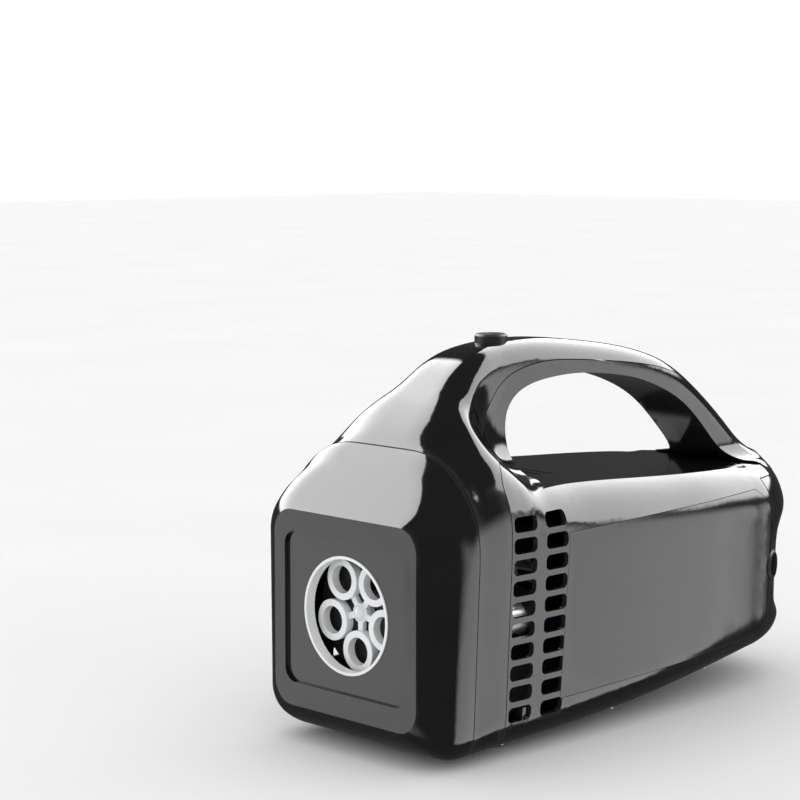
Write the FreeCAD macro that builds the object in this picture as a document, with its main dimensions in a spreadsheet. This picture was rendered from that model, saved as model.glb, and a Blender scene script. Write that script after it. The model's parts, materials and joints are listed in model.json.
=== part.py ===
import FreeCAD, Part
import math
import os
import Sketcher

from FreeCAD import Placement, Rotation, Vector

# Hand-held bubble machine. Millimetres, +Z up, outlet facing -Y, origin on the
# table under the middle of the body. Lengthwise stations ("back") are measured
# from the front face and heights ("rise") from the outlet's axis.

DIMENSIONS = (
    ("body_length", 236.5),
    ("outlet_height", 52.3),
    ("wall", 2.2),
    ("seam_gap", 0.36),
    ("panel_gap", 0.18),
    ("panel_thick", 1.2),
    ("front_seam", 20.0),
    ("hood_seam", 36.0),
    ("rear_seam", 198.0),
    ("rear_top_seam", 33.5),
    ("web_half", 14.0),
    ("recess_depth", 1.4),
    ("outlet_radius", 22.0),
    ("collar_wall", 1.1),
    ("collar_depth", 4.4),
    ("collar_flange_radius", 25.5),
    ("collar_flange_thick", 1.3),
    ("ring_circle", 14.2),
    ("ring_outer", 7.7),
    ("ring_inner", 5.2),
    ("ring_thick", 3.4),
    ("ring_back", 7.2),
    ("hub_radius", 3.6),
    ("hub_length", 4.2),
    ("spoke_width", 2.4),
    ("shaft_radius", 1.5),
    ("shaft_length", 33.0),
    ("shaft_clearance", 0.05),
    ("bush_radius", 3.5),
    ("plate_thick", 2.0),
    ("plate_length", 57.0),
    ("plate_height", 31.0),
    ("gear_thick", 3.0),
    ("coarse_module", 0.6),
    ("fine_module", 0.5),
    ("pin_radius", 1.0),
    ("motor_radius", 10.0),
    ("motor_length", 25.0),
    ("motor_shaft", 1.0),
    ("tank_half", 30.0),
    ("tank_wall", 1.6),
    ("tank_length", 70.0),
    ("tank_depth", 21.0),
    ("trough_half", 24.0),
    ("trough_length", 22.0),
    ("trough_depth", 15.0),
    ("lid_thick", 1.8),
    ("seal_thick", 0.8),
    ("plug_radius", 5.0),
    ("nozzle_radius", 5.6),
    ("nozzle_wall", 1.2),
    ("nozzle_length", 47.0),
    ("guard_radius", 25.0),
    ("guard_thick", 1.5),
    ("volute_radius", 20.0),
    ("volute_wall", 1.4),
    ("volute_width", 20.0),
    ("intake_radius", 9.5),
    ("impeller_radius", 16.0),
    ("impeller_width", 14.0),
    ("blade_thick", 1.2),
    ("blade_depth", 5.0),
    ("cell_radius", 9.2),
    ("cell_length", 65.0),
    ("holder_wall", 1.6),
    ("board_length", 52.0),
    ("board_width", 44.0),
    ("board_thick", 1.6),
    ("jack_radius", 6.25),
    ("jack_bore", 4.75),
    ("jack_length", 12.0),
    ("jack_pin_radius", 1.0),
    ("button_radius", 6.35),
    ("button_height", 7.2),
    ("button_rim", 7.8),
    ("button_travel", 1.5),
    ("switch_side", 8.5),
    ("switch_height", 3.5),
    ("foot_radius", 5.5),
    ("foot_height", 2.0),
    ("screw_radius", 1.4),
    ("screw_head", 2.7),
    ("boss_radius", 3.4),
    ("vent_length", 11.8),
    ("vent_height", 5.7),
    ("vent_pitch", 7.82),
)

doc = FreeCAD.newDocument("bubble_machine")
sheet = doc.addObject("Spreadsheet::Sheet", "Dimensions")
for row, (alias, value) in enumerate(DIMENSIONS, start=1):
    sheet.set("A%d" % row, alias)
    sheet.set("B%d" % row, str(value))
    sheet.setAlias("B%d" % row, alias)
doc.recompute()

SIZE = {alias: float(getattr(sheet, alias)) for alias, value in DIMENSIONS}
FRONT = -SIZE["body_length"] / 2
AXIS_HEIGHT = SIZE["outlet_height"]
ALONG_Y = Rotation(Vector(0, 0, 1), Vector(0, 1, 0))
ALONG_X = Rotation(Vector(0, 0, 1), Vector(1, 0, 0))
UPRIGHT = Rotation()
nodes = {}


def at(x, back, rise):
    return Vector(x, FRONT + back, AXIS_HEIGHT + rise)


def cell(alias):
    return "Dimensions." + alias


# ---------------------------------------------------------------- outer skin
# Each table is a curve along the body: (back, value).

CROWN = (
    (0, 36.3), (20, 60.6), (25, 66.2), (30, 71.2), (36, 76.8), (45, 84.4), (55, 90.8), (67, 94.4),
    (78, 95.6), (90, 96), (105, 95.3), (125, 93.2), (145, 90.2), (160, 86.9), (172, 83), (182, 78),
    (196, 68.6), (207, 60.2), (218, 51), (225, 45), (231, 39.3), (234.4, 35.5),
)
BODY_TOP = (
    (0, 36.3), (20, 60.3), (36, 62.5), (45, 57.5), (52, 52), (60, 48), (75, 46.4), (103, 45),
    (131, 43.2), (180, 40.2), (198, 37.9),
)
HALF_WIDTH = (
    (0, 37.4), (2, 41.3), (5, 45.2), (10, 48.0), (15, 49.0), (20, 49.4), (36, 49.9), (60, 50.8),
    (100, 51.2), (150, 50.3), (180, 48.2), (198, 46.4),
)
TOP_ROUND = ((0, 9), (8, 20), (20, 33), (36, 30), (50, 22), (62, 20), (80, 21), (180, 20), (198, 18))
UNDERSIDE = (
    (0, -38), (2, -40.5), (5, -43.6), (10, -47), (15, -49.3), (20, -50.2), (37, -50), (64, -49.4),
    (93, -48.4), (123, -47), (154, -44.3), (188, -40.6), (198, -39.6),
)
BOTTOM_ROUND = ((0, 9), (20, 12), (37, 14), (64, 15), (93, 16), (123, 17), (154, 18), (198, 17))
WEB_BLEND = ((20, 2), (28, 14), (36, 22), (45, 24), (72, 20), (84, 12), (100, 10))
WEB_HALF = ((20, 28), (30, 27), (36, 24.5), (45, 20), (60, 15.4), (75, 14), (190, 13.5), (234, 12.5))
WEB_ROUND = ((20, 20), (45, 14), (60, 10), (80, 9.5))
SIDE_DRAFT = 0.0009
WIDEST_RISE = 22.0
TAIL_START = 180.0
TAIL_REACH = 54.5
TAIL_POWER = 2.2
SKIN_STATIONS = (
    0, 1.2, 2.6, 4.4, 6.6, 9.2, 12.2, 15.6, 19.4, 23.6, 28.2, 33, 38, 44, 50, 56, 63, 71, 80, 92, 108, 126,
    144, 160, 173, 183, 191, 198, 205, 211.5, 217.5, 222.5, 226.5, 229.5, 232, 233.7,
)
SKIN_POINTS = 44


def curve_value(table, station):
    """Smooth curve without overshoot through the points of a table."""
    if station <= table[0][0]:
        return table[0][1]
    if station >= table[-1][0]:
        return table[-1][1]
    index = max(i for i in range(len(table) - 1) if table[i][0] <= station)
    rates = [(b[1] - a[1]) / (b[0] - a[0]) for a, b in zip(table, table[1:])]

    def tangent(i):
        if i == 0:
            return rates[0]
        if i == len(table) - 1:
            return rates[-1]
        before, after = rates[i - 1], rates[i]
        return 0.0 if before * after <= 0 else 2 * before * after / (before + after)

    (start, low), (stop, high) = table[index], table[index + 1]
    span = stop - start
    t = (station - start) / span
    return (
        (2 * t ** 3 - 3 * t ** 2 + 1) * low
        + (t ** 3 - 2 * t ** 2 + t) * span * tangent(index)
        + (3 * t ** 2 - 2 * t ** 3) * high
        + (t ** 3 - t ** 2) * span * tangent(index + 1)
    )


def tail_factor(back, reach):
    """How much the plan has narrowed at a station behind the rear seam."""
    here = max(1 - ((back - TAIL_START) / reach) ** TAIL_POWER, 0.0)
    seam = 1 - ((SIZE["rear_seam"] - TAIL_START) / reach) ** TAIL_POWER
    return (here / seam) ** (1 / TAIL_POWER)


def rounded_box(x, rise, half, low, high, top_round, bottom_round):
    """Distance to a box with rounded corners, in one cross-section."""
    middle, half_height = (low + high) / 2, (high - low) / 2
    corner = top_round if rise > middle else bottom_round
    corner = min(corner, half - 0.1, half_height - 0.1)
    over_x = abs(x) - half + corner
    over_z = abs(rise - middle) - half_height + corner
    outside = math.hypot(max(over_x, 0), max(over_z, 0))
    return min(max(over_x, over_z), 0.0) + outside - corner


def skin_section(back):
    """Cross-section at one station, as a distance function of (x, rise)."""
    station = min(back, SIZE["rear_seam"])
    shrink = tail_factor(back, TAIL_REACH) if back > station else 1.0
    half = curve_value(HALF_WIDTH, station)
    low, high = curve_value(UNDERSIDE, station), curve_value(BODY_TOP, station)
    top_round, bottom_round = curve_value(TOP_ROUND, station), curve_value(BOTTOM_ROUND, station)
    crown = curve_value(CROWN, back)
    if back < SIZE["front_seam"]:
        high = crown
    web = curve_value(WEB_HALF, back)
    web_round = min(web - 3, curve_value(WEB_ROUND, back))
    blend = curve_value(WEB_BLEND, back)
    draft = SIDE_DRAFT * min(back / SIZE["front_seam"], 1.0)

    def distance(x, rise):
        taper = 1 - draft * max(WIDEST_RISE - rise, 0)
        body = rounded_box(x / shrink, rise, half * taper, low, high, top_round, bottom_round)
        if back <= SIZE["front_seam"]:
            return body
        rib = rounded_box(x, rise, web, low / 2, crown, web_round, 2.0)
        overlap = max(blend - abs(body - rib), 0.0) / blend
        return min(body, rib) - overlap * overlap * blend / 4

    return distance


def zero_along(distance, centre, angle, inset):
    """Reach from a centre to the skin in one direction."""
    cosine, sine = math.cos(angle), math.sin(angle)
    near, step = 0.0, 1.5
    while distance(cosine * (near + step), centre + sine * (near + step)) + inset < 0:
        near += step
    far = near + step
    for _ in range(14):
        reach = (near + far) / 2
        if distance(cosine * reach, centre + sine * reach) + inset < 0:
            near = reach
        else:
            far = reach
    return cosine * near, centre + sine * near


def half_outline(back, inset):
    """Evenly spaced points from the keel up to the crown, on the +X side."""
    distance = skin_section(back)
    centre = curve_value(BODY_TOP, back) - 6
    if back < 40:
        centre = curve_value(CROWN, back) / 2
    rays = 220
    fine = [zero_along(distance, centre, math.pi * (i / rays - 0.5), inset) for i in range(rays + 1)]
    length = [0.0]
    for a, b in zip(fine, fine[1:]):
        length.append(length[-1] + math.hypot(b[0] - a[0], b[1] - a[1]))
    points, j = [], 0
    for i in range(SKIN_POINTS + 1):
        target = length[-1] * i / SKIN_POINTS
        while j < len(fine) - 2 and length[j + 1] < target:
            j += 1
        t = (target - length[j]) / (length[j + 1] - length[j])
        x = fine[j][0] + t * (fine[j + 1][0] - fine[j][0])
        points.append((x, fine[j][1] + t * (fine[j + 1][1] - fine[j][1])))
    points[0] = (0.0, points[0][1])
    points[-1] = (0.0, points[-1][1])
    return points


def skin_curve(back, inset):
    half = half_outline(back, inset)
    right = [at(x, back, rise) for x, rise in half]
    left = [at(-x, back, rise) for x, rise in reversed(half[1:-1])]
    points = right + left
    count = len(points)
    curve = Part.BSplineCurve()
    knots = [i / count for i in range(count + 1)]
    curve.interpolate(Points=points, PeriodicFlag=True, Parameters=knots)
    return curve


def through_sections(curves, stations):
    """Closed solid whose side passes through section curves that share one set of knots.

    Each pole runs along the stations on its own spline, with the stations as parameters, so
    unevenly spaced sections leave no ripples.
    """
    rows = []
    for poles in zip(*[curve.getPoles() for curve in curves]):
        along = Part.BSplineCurve()
        along.interpolate(Points=list(poles), Parameters=list(stations))
        rows.append(along)
    first = curves[0]
    side = Part.BSplineSurface()
    side.buildFromPolesMultsKnots(
        [row.getPoles() for row in rows], first.getMultiplicities(), rows[0].getMultiplicities(),
        first.getKnots(), rows[0].getKnots(), first.isPeriodic(), False, first.Degree, rows[0].Degree,
    )
    face = side.toShape()
    ends = []
    for curve in (curves[0], curves[-1]):
        edges = [curve.toShape()]
        if not curve.isPeriodic():
            edges.append(Part.makeLine(curve.EndPoint, curve.StartPoint))
        ends.append(Part.Face(Part.Wire(edges)))
    return face, ends


def closed_solid(faces):
    shell = Part.makeCompound(faces)
    shell.sewShape()
    solid = Part.makeSolid(Part.makeShell(shell.Faces))
    if solid.Volume < 0:
        solid.reverse()
    return solid


def skin_solid(inset, start):
    stations = [start] + [s for s in SKIN_STATIONS if s > start + 1]
    if inset:
        stations = [s for s in stations if s < SKIN_STATIONS[-1] - inset]
    face, ends = through_sections([skin_curve(s, inset) for s in stations], stations)
    return closed_solid([face] + ends)


def lofted_skin(inset, start):
    """The skin lofted straight through its sections, for the pieces with slots and bosses."""
    stations = [start] + [s for s in SKIN_STATIONS if s > start + 1]
    if inset:
        stations = [s for s in stations if s < SKIN_STATIONS[-1] - inset]
    return Part.makeLoft([Part.Wire([skin_curve(s, inset).toShape()]) for s in stations], True, False)


# Rear cover: plan sections stacked up the rear, with a waist between two bulges.
# (rise, reach of the plan behind the tail's start)
TAIL_PROFILE = (
    (-39.4, 47), (-36, 52.5), (-32, 55.2), (-28, 55.6), (-24.5, 54), (-21, 50.8), (-17, 49.2), (-8, 48.8),
    (2, 48.8), (8, 49.4), (12, 51), (15.5, 54), (18.5, 56.1), (22, 56.5), (27, 55.6), (33.5, 54.5),
)
TAIL_POINTS = 14
TAIL_LAYERS = 30


def half_width_at(back, rise, inset):
    distance = skin_section(back)
    near, far = 0.0, 60.0
    for _ in range(18):
        middle = (near + far) / 2
        if distance(middle, rise) + inset < 0:
            near = middle
        else:
            far = middle
    return near


def tail_curve(rise, reach, inset, start):
    seam = SIZE["rear_seam"]
    half = half_width_at(seam, rise, inset)
    reach = reach - inset
    full = half / (1 - ((seam - TAIL_START) / reach) ** TAIL_POWER) ** (1 / TAIL_POWER)
    power = 2 / TAIL_POWER
    first = math.asin(((start - TAIL_START) / reach) ** (1 / power))
    side = []
    for i in range(TAIL_POINTS + 1):
        angle = first + (math.pi / 2 - first) * i / TAIL_POINTS
        x = full * math.cos(angle) ** power if i < TAIL_POINTS else 0.0
        side.append((x, TAIL_START + reach * math.sin(angle) ** power))
    points = [at(x, back, rise) for x, back in side]
    points += [at(-x, back, rise) for x, back in reversed(side[:-1])]
    count = len(points) - 1
    curve = Part.BSplineCurve()
    curve.interpolate(Points=points, Parameters=[i / count for i in range(count + 1)])
    return curve


def tail_solid(inset, start):
    low = TAIL_PROFILE[0][0] + inset
    high = TAIL_PROFILE[-1][0] - inset
    steps = [(1 - math.cos(math.pi * i / TAIL_LAYERS)) / 2 for i in range(TAIL_LAYERS + 1)]
    rises = [low + (high - low) * step for step in steps]
    curves = [tail_curve(r, curve_value(TAIL_PROFILE, r), inset, start) for r in rises]
    face, ends = through_sections(curves, rises)
    corners = [[curve.EndPoint for curve in curves], [curve.StartPoint for curve in curves]]
    edges = []
    for points in corners:
        edge = Part.BSplineCurve()
        edge.interpolate(Points=points, Parameters=rises)
        edges.append(edge.toShape())
    front = Part.makeRuledSurface(edges[0], edges[1])
    return closed_solid([face, front] + ends)


# ------------------------------------------------- seams and the hand opening
# Side-view curves: (back, rise).

OPENING_TOP = (
    (61.5, 44.7), (65.6, 46.3), (68.8, 50), (70.2, 56), (70.8, 64), (72, 70), (76, 75.2), (83, 78.8),
    (95, 81),
    (113, 81.7), (130, 80.3), (148, 77.3), (165, 72), (180, 64.5), (192, 55), (201, 46.5), (208, 40.5),
    (215, 36.9),
)
OPENING_FLOOR = ((215, 36.9), (200, 37.8), (180, 39), (131, 41.6), (103, 43.4), (77, 44.5), (61.5, 44.7))
HOOD_SEAM = (
    (36, 46), (36.6, 50), (40, 55), (46, 60), (52.5, 65), (58.5, 71), (64.5, 78), (71, 82.8), (80, 86),
    (92, 87.8), (108, 87.6), (126, 86), (151, 83), (177, 77), (190, 70.5), (201, 60.5), (212, 49.5),
    (220, 41.2), (227, 33.5), (232, 28),
)
FAR = 80.0


def side_curve(points, offset=0.0):
    """Spline through side-view points, moved sideways by an offset."""
    if offset:
        moved = []
        for i, (back, rise) in enumerate(points):
            a, b = points[max(i - 1, 0)], points[min(i + 1, len(points) - 1)]
            run, climb = b[0] - a[0], b[1] - a[1]
            length = math.hypot(run, climb)
            moved.append((back - offset * climb / length, rise + offset * run / length))
        points = moved
    curve = Part.BSplineCurve()
    curve.interpolate(Points=[at(-FAR, back, rise) for back, rise in points])
    return curve.toShape(), points


def across(edges):
    """Solid right across the machine from a closed side-view outline."""
    face = Part.Face(Part.Wire(edges))
    return face.extrude(Vector(2 * FAR, 0, 0))


def side_polygon(points):
    vertices = [at(-FAR, back, rise) for back, rise in points]
    return across([Part.makeLine(a, b) for a, b in zip(vertices, vertices[1:] + vertices[:1])])


def slab(first, last):
    """Everything between two stations."""
    return side_polygon([(first, -FAR), (last, -FAR), (last, 2 * FAR), (first, 2 * FAR)])


def opening_solid(offset):
    top, top_points = side_curve(OPENING_TOP, offset)
    floor, floor_points = side_curve(OPENING_FLOOR, offset)
    joints = []
    if offset:
        joints.append(Part.makeLine(at(-FAR, *top_points[-1]), at(-FAR, *floor_points[0])))
        joints.append(Part.makeLine(at(-FAR, *floor_points[-1]), at(-FAR, *top_points[0])))
        return across([top, joints[0], floor, joints[1]])
    return across([top, floor])


def behind_hood_seam(offset):
    """Region below and behind the hood's seam."""
    curve, points = side_curve(HOOD_SEAM, offset)
    start, end = points[0], points[-1]
    corners = [end, (end[0], -FAR), (start[0], -FAR), start]
    vertices = [at(-FAR, back, rise) for back, rise in corners]
    lines = [Part.makeLine(a, b) for a, b in zip(vertices, vertices[1:])]
    return across([curve] + lines)


def rounded_prism(width, height, depth, corner, centre, axis):
    """Rounded rectangle, extruded about its centre along X or Y."""
    half_w, half_h = width / 2 - corner, height / 2 - corner
    block = Part.makeBox(width, depth, height - 2 * corner)
    block.translate(Vector(-width / 2, -depth / 2, -half_h))
    tall = Part.makeBox(width - 2 * corner, depth, height)
    tall.translate(Vector(-half_w, -depth / 2, -height / 2))
    parts = [tall]
    for sx in (-1, 1):
        for sz in (-1, 1):
            foot = Vector(sx * half_w, -depth / 2, sz * half_h)
            parts.append(Part.makeCylinder(corner, depth, foot, Vector(0, 1, 0)))
    shape = block.multiFuse(parts).removeSplitter()
    if axis == "X":
        shape.rotate(Vector(0, 0, 0), Vector(0, 0, 1), 90)
    shape.translate(centre)
    return shape


def round_bar(radius, length, start, direction):
    return Part.makeCylinder(radius, length, start, direction)


def feature(label, shape):
    """Sub-part whose free-form shape is set directly."""
    item = doc.addObject("Part::Feature", label)
    item.Shape = shape
    item.Label = label
    nodes[label] = item
    return item


WALL = SIZE["wall"]
GAP = SIZE["seam_gap"]
OUTWARD = Vector(1, 0, 0)
BACKWARD = Vector(0, 1, 0)
UPWARD = Vector(0, 0, 1)

opening = opening_solid(0.0)
hand_room = opening_solid(WALL)


def hollow(make_skin):
    """Outer skin less the hand opening and the room inside the walls."""
    outside = make_skin(0.0, 0)
    room = make_skin(WALL, SIZE["recess_depth"] + WALL)
    return outside.cut(opening).cut(room.cut(hand_room))


front_shell = hollow(skin_solid)

RECESS = (63.6, 57.4, 5.5)
RECESS_RISE = -0.4
recess = rounded_prism(RECESS[0], RECESS[1], 2 * SIZE["recess_depth"], RECESS[2], at(0, 0, RECESS_RISE), "Y")
outlet_hole = round_bar(SIZE["outlet_radius"] + 0.1, 12, at(0, -2, 0), BACKWARD)
front_zone = slab(-5, SIZE["front_seam"] - GAP / 2)
front_cover = front_shell.common(front_zone).cut(recess).cut(outlet_hole)
feature("front_cover", front_cover)

ledge = SIZE["rear_top_seam"] + GAP
tail_space = side_polygon([(150, -FAR), (240, -FAR), (240, ledge), (150, ledge)])
hood_zone = slab(SIZE["front_seam"] + GAP / 2, 240).cut(behind_hood_seam(0.0)).cut(tail_space)
button_hole = round_bar(SIZE["button_radius"] + 0.3, 12, at(0, 78, 88), UPWARD)
hood = front_shell.common(hood_zone).cut(button_hole)
hood = max(hood.Solids, key=lambda s: s.Volume)
feature("hood_spine", hood)

# Main housing: everything behind the hood seam and in front of the rear cover.
rear_corner = [
    (SIZE["rear_seam"] - GAP, -FAR), (SIZE["rear_seam"] - GAP, ledge), (240, ledge),
    (240, 2 * FAR), (30, 2 * FAR), (30, -FAR),
]
housing_zone = behind_hood_seam(-GAP).common(side_polygon(rear_corner))
shell = hollow(lofted_skin)
housing = shell.common(housing_zone)

PANEL = ((66.5, 29.2), (189, 30.8), (194.6, 27), (197.6, 20.5), (197.6, -31.2), (64.6, -33.4))
PANEL_INNER = (
    (66.68, 29.02), (188.9, 30.6), (194.4, 26.9), (197.4, 20.45), (197.4, -31.0), (64.8, -33.2),
)
panel_bed = lofted_skin(SIZE["panel_thick"] + 0.1, SIZE["hood_seam"])
panel_skin = lofted_skin(0.0, 0).cut(panel_bed)
housing = housing.cut(panel_skin.common(side_polygon(PANEL)))
panels = panel_skin.common(side_polygon(PANEL_INNER)).common(side_polygon(rear_corner))

VENT_ROWS = 10
VENT_COLUMNS = (43.3, 59.9)
VENT_TOP_RISE = 35.0
slots = []
for column in VENT_COLUMNS:
    for row in range(VENT_ROWS):
        rise = VENT_TOP_RISE - row * SIZE["vent_pitch"]
        for side in (-1, 1):
            middle = at(side * 50, column, rise)
            slots.append(rounded_prism(SIZE["vent_length"], SIZE["vent_height"], 24, 2.0, middle, "X"))
DECK_SLOTS = (98.0, 91.7, 85.4, 79.1)
for back in DECK_SLOTS:
    slots.append(rounded_prism(28, 20, 1.7, 0.8, at(0, back, 44), "Y"))
housing = housing.cut(Part.makeCompound(slots))

# Bottom cover: the middle of the underside, with a keel that lets it stand level.
COVER_HALF = 37.0
COVER_BACK = (40.0, 178.0)
LOW = -60.0


def under_block(half, first, last, top):
    corner = at(-half, first, LOW)
    return Part.makeBox(2 * half, last - first, top - LOW, corner)


cover_zone = under_block(COVER_HALF, COVER_BACK[0], COVER_BACK[1], -38.0)
inner_zone = under_block(COVER_HALF - GAP, COVER_BACK[0] + GAP, COVER_BACK[1] - GAP, -38.0 - GAP)
bottom_skin = shell.common(inner_zone)
housing = housing.cut(cover_zone)

FEET_FRONT = (26.0, 52.0)
FEET_REAR = (15.0, 140.0)
FOOT_TOP = SIZE["foot_height"] - SIZE["outlet_height"]
pads = []
for half, back, top in ((FEET_FRONT[0], FEET_FRONT[1], -47.0), (FEET_REAR[0], FEET_REAR[1], -43.5)):
    for side in (-1, 1):
        spot = at(side * half, back, FOOT_TOP)
        pads.append(round_bar(SIZE["foot_radius"] + 1.5, top - FOOT_TOP, spot, UPWARD))
keel = Part.makeBox(30, 13, -43.5 - FOOT_TOP, at(-15, 133.5, FOOT_TOP))
bottom_cover = bottom_skin.multiFuse(pads + [keel])

SCREW_SPOTS = ((33.0, 47.0), (33.0, 110.0), (31.0, 171.0))
SCREW_SINK = 1.2
bosses, boss_room, screw_holes = [], [], []
for half, back in SCREW_SPOTS:
    floor = curve_value(UNDERSIDE, back)
    for side in (-1, 1):
        spot = at(side * half, back, floor + WALL + 0.6)
        bosses.append(round_bar(SIZE["boss_radius"], 13, spot, UPWARD))
        boss_room.append(round_bar(SIZE["boss_radius"] + 0.2, 13, spot - UPWARD * 0.1, UPWARD))
        rib = Part.makeBox(16, 1.6, 9, at(side * (half + 8) - 8, back - 0.8, floor + 7))
        bosses.append(rib.common(panel_bed))
        below = at(side * half, back, floor - 6)
        screw_holes.append(round_bar(SIZE["screw_radius"] + 0.02, 26, below, UPWARD))
        screw_holes.append(round_bar(SIZE["screw_head"] + 0.3, 6 + SCREW_SINK, below, UPWARD))
pilot = Part.makeCompound(screw_holes)
housing = housing.multiFuse(bosses).cut(pilot)
PLUG_SPOT = (0.0, 66.0)
plug_hole = round_bar(SIZE["plug_radius"] + 0.3, 12, at(PLUG_SPOT[0], PLUG_SPOT[1], -56), UPWARD)
bottom_cover = bottom_cover.cut(pilot).cut(plug_hole).cut(Part.makeCompound(boss_room))
bottom_cover = max(bottom_cover.Solids, key=lambda s: s.Volume)
feature("bottom_cover", bottom_cover)

# Rear cover with the jack's seat.
JACK_TURN = 21.0
jack_out = Vector(math.cos(math.radians(JACK_TURN)), math.sin(math.radians(JACK_TURN)), 0)
jack_face = at(43.9, 201.9, -2.4) + jack_out * 0.8
jack_seat = round_bar(SIZE["jack_radius"] + 0.15, 16, jack_face + jack_out, jack_out * -1)
tail = tail_solid(0.0, SIZE["rear_seam"] + GAP / 2)
tail_room = tail_solid(WALL, SIZE["rear_seam"] - 1)
rear_cover = tail.cut(tail_room).cut(jack_seat)
rear_cover = max(rear_cover.Solids, key=lambda s: s.Volume)
feature("rear_cover", rear_cover)
housing = housing.cut(jack_seat)
housing = max(housing.Solids, key=lambda s: s.Volume)
feature("main_housing", housing)
panels = panels.cut(jack_seat)
for label, side in (("side_panel_right", 1), ("side_panel_left", -1)):
    half_space = Part.makeBox(60, 300, 300, Vector(0 if side > 0 else -60, -150, -50))
    piece = panels.common(half_space)
    feature(label, max(piece.Solids, key=lambda s: s.Volume))

# ------------------------------------------------------------- inner pieces
def primitive(kind, name, place, sizes):
    """Part primitive whose sizes follow the sheet."""
    item = doc.addObject("Part::" + kind, name)
    for key, value in sizes.items():
        if isinstance(value, str):
            item.setExpression(key, value)
        else:
            setattr(item, key, value)
    item.Placement = place
    return item


def rod(name, radius, length, start, turn):
    return primitive("Cylinder", name, Placement(start, turn), {"Radius": radius, "Height": length})


def block(name, sizes, corner):
    keys = dict(zip(("Length", "Width", "Height"), sizes))
    return primitive("Box", name, Placement(corner, UPRIGHT), keys)


def joined(name, pieces):
    item = doc.addObject("Part::MultiFuse", name)
    item.Shapes = pieces
    return item


def bored(name, base, tool):
    item = doc.addObject("Part::Cut", name)
    item.Base = base
    item.Tool = tool
    return item


def keep(label, item):
    item.Label = label
    nodes[label] = item
    return item


def origin_plane(body, role):
    return next(f for f in body.Origin.OriginFeatures if f.Role == role)


def sketch_on(body, name, role="XY_Plane"):
    sketch = body.newObject("Sketcher::SketchObject", name)
    sketch.AttachmentSupport = (origin_plane(body, role), [""])
    sketch.MapMode = "FlatFace"
    return sketch


def add_circle(sketch, x, y, radius):
    """Circle whose radius follows an expression."""
    index = sketch.addGeometry(Part.Circle(Vector(x, y, 0), UPWARD, 1.0), False)
    rule = sketch.addConstraint(Sketcher.Constraint("Radius", index, 1.0))
    sketch.setExpression("Constraints[%d]" % rule, radius)
    return index


def add_polygon(sketch, points):
    vertices = [Vector(x, y, 0) for x, y in points]
    for a, b in zip(vertices, vertices[1:] + vertices[:1]):
        sketch.addGeometry(Part.LineSegment(a, b), False)


def new_body(label, place):
    body = doc.addObject("PartDesign::Body", label)
    body.Placement = place
    return body


def pad(body, sketch, length, name, offset=0.0):
    item = body.newObject("PartDesign::Pad", name)
    item.Profile = sketch
    if isinstance(length, str):
        item.setExpression("Length", length)
    else:
        item.Length = length
    if offset:
        sketch.AttachmentOffset = Placement(Vector(0, 0, offset), UPRIGHT)
    return item


def turned(label, outline, place):
    """Body revolved about its own Z from (radius, height) points."""
    body = new_body(label, place)
    sketch = sketch_on(body, label + "_profile", "XZ_Plane")
    add_polygon(sketch, outline)
    item = body.newObject("PartDesign::Revolution", label + "_turned")
    item.Profile = sketch
    item.ReferenceAxis = (sketch, ["V_Axis"])
    item.Angle = 360
    return body


def gear_outline(teeth, module, phase):
    """Straight-flanked teeth with running clearance."""
    pitch = teeth * module / 2
    tip, root = pitch + 0.8 * module, pitch - 1.15 * module
    step = 2 * math.pi / teeth
    points = []
    for tooth in range(teeth):
        middle = phase + tooth * step
        for radius, share in ((root, -0.30), (tip, -0.12), (tip, 0.12), (root, 0.30)):
            angle = middle + share * step
            points.append((radius * math.cos(angle), radius * math.sin(angle)))
    return points


def gear(label, place, stages, bore):
    """Gear cluster: stages are (teeth, module, phase, start, thickness)."""
    body = new_body(label, place)
    for number, (teeth, module, phase, start, thick) in enumerate(stages):
        sketch = sketch_on(body, "%s_teeth_%d" % (label, number))
        add_polygon(sketch, gear_outline(teeth, module, phase))
        add_circle(sketch, 0, 0, bore)
        pad(body, sketch, thick, "%s_stage_%d" % (label, number), start)
    return body


def mesh_phase(teeth, phase, bearing, partner_teeth):
    """Partner's phase that puts its gap on this gear's tooth."""
    share = (bearing - phase) * teeth / (2 * math.pi)
    share -= math.floor(share)
    return bearing + math.pi - 2 * math.pi / partner_teeth * (0.5 - share)


# Gear faces look along +Y: in a body turned to point along +Y, its own X is the
# machine's X and its own Y is the machine's -Z.
GEAR_TURN = Rotation(Vector(1, 0, 0), Vector(0, 0, -1), Vector(0, 1, 0), "ZXY")
WHEEL_TEETH, COARSE_PINION, FINE_WHEEL, FINE_PINION = 40, 12, 36, 10
coarse_gap = SIZE["coarse_module"] * (WHEEL_TEETH + COARSE_PINION) / 2
fine_gap = SIZE["fine_module"] * (FINE_WHEEL + FINE_PINION) / 2
BEARING_A, BEARING_B, BEARING_PINION = -30.0, 60.0, -30.0


def step_from(spot, reach, bearing):
    angle = math.radians(bearing)
    return spot[0] + reach * math.cos(angle), spot[1] + reach * math.sin(angle)


SPOT_A = step_from((0.0, 0.0), coarse_gap, BEARING_A)
SPOT_B = step_from(SPOT_A, fine_gap, BEARING_B)
SPOT_PINION = step_from(SPOT_B, fine_gap, BEARING_PINION)
FRONT_PLATE, REAR_PLATE = 20.5, 36.5
NOZZLE_RISE = 18.6

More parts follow.
